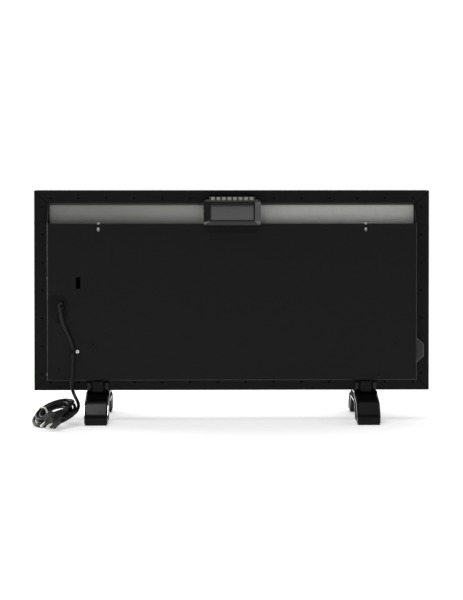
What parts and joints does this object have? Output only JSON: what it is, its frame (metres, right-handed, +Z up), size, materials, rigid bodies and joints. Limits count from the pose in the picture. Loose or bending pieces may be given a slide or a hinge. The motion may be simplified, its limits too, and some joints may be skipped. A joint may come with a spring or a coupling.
{
  "type": "panel convector heater",
  "caption": "Slim panel convector heater on arched feet, with a glass front, a steel rear cover with hanging slots, a side rocker switch and a tied, coiled mains cord",
  "frame": {"origin": "on the floor under the middle of the feet, midway along the panel", "axes": "+X along the panel, +Y out of its back, where the cover and cord are, +Z up"},
  "size_m": [0.85, 0.3052, 0.494],
  "materials": {
    "black_glass": "black back-painted glass",
    "black_steel": "satin black powder coat",
    "galvanised_sheet": "bare galvanised sheet",
    "cover_steel": "satin black powder coat",
    "zinc_lug": "bright zinc plated",
    "screw_steel": "zinc plated",
    "element_aluminium": "matt extruded",
    "bush_ceramic": "unglazed",
    "zinc_sheet": "zinc plated",
    "black_screw": "blackened steel",
    "pale_plastic": "moulded",
    "inner_plastic": "moulded",
    "cutout_ceramic": "glazed",
    "matte_black": "fine texture",
    "gloss_black": "polished",
    "gloss_insert": "semi-gloss",
    "board": "printed circuit board",
    "switch_black": "semi-gloss",
    "rocker_black": "semi-gloss",
    "gland_black": "matt",
    "zinc_screw": "zinc plated",
    "foot_black": "satin",
    "chrome_trim": "plated",
    "clip_black": "polished",
    "pad_rubber": "matt",
    "cord_black": "satin sheath",
    "tie_white": "soft strip",
    "plug_black": "moulded",
    "pin_metal": "nickel plated"
  },
  "bodies": {
    "heater": {"glass_front": "black_glass", "front_tray": "black_steel", "mounting_frame": "black_steel", "air_deflector": "galvanised_sheet", "rear_cover": "cover_steel", "hanging_lugs": "zinc_lug", "cover_screws": "screw_steel", "intake_grille": "black_steel", "heating_element": "element_aluminium", "element_bushes": "bush_ceramic", "element_brackets": "zinc_sheet", "bracket_screws": "black_screw", "casing_screws": "black_screw", "terminal_block": "pale_plastic", "tip_over_switch": "inner_plastic", "temperature_sensor": "inner_plastic", "thermal_cutout": "cutout_ceramic", "control_base": "matte_black", "control_housing": "gloss_black", "service_cover": "gloss_insert", "control_bracket": "galvanised_sheet", "control_board": "board", "switch_housing": "switch_black", "switch_body": "switch_black", "cord_entry_plate": "matte_black", "cord_gland": "gland_black", "clip_rail": "cover_steel", "cord_clip": "matte_black", "clip_screw": "zinc_screw", "foot_left": "foot_black", "foot_right": "foot_black", "foot_trims_left": "chrome_trim", "foot_trims_right": "chrome_trim", "foot_clips": "clip_black", "foot_screws": "screw_steel", "foot_nuts": "screw_steel", "foot_pads": "pad_rubber", "cord_drop": "cord_black", "cord_coil": "cord_black", "cord_tie": "tie_white", "plug_body": "plug_black", "plug_pins": "pin_metal", "plug_earth_clips": "pin_metal"},
    "rocker": {"switch_rocker": "rocker_black"}
  },
  "joints": [
    {"name": "rocker_pivot", "type": "hinge", "parent": "heater", "child": "rocker", "pos_m": [-0.4074, 0.0423, 0.1525], "axis": [0, -1, 0], "range_deg": [0, 20]}
  ]
}
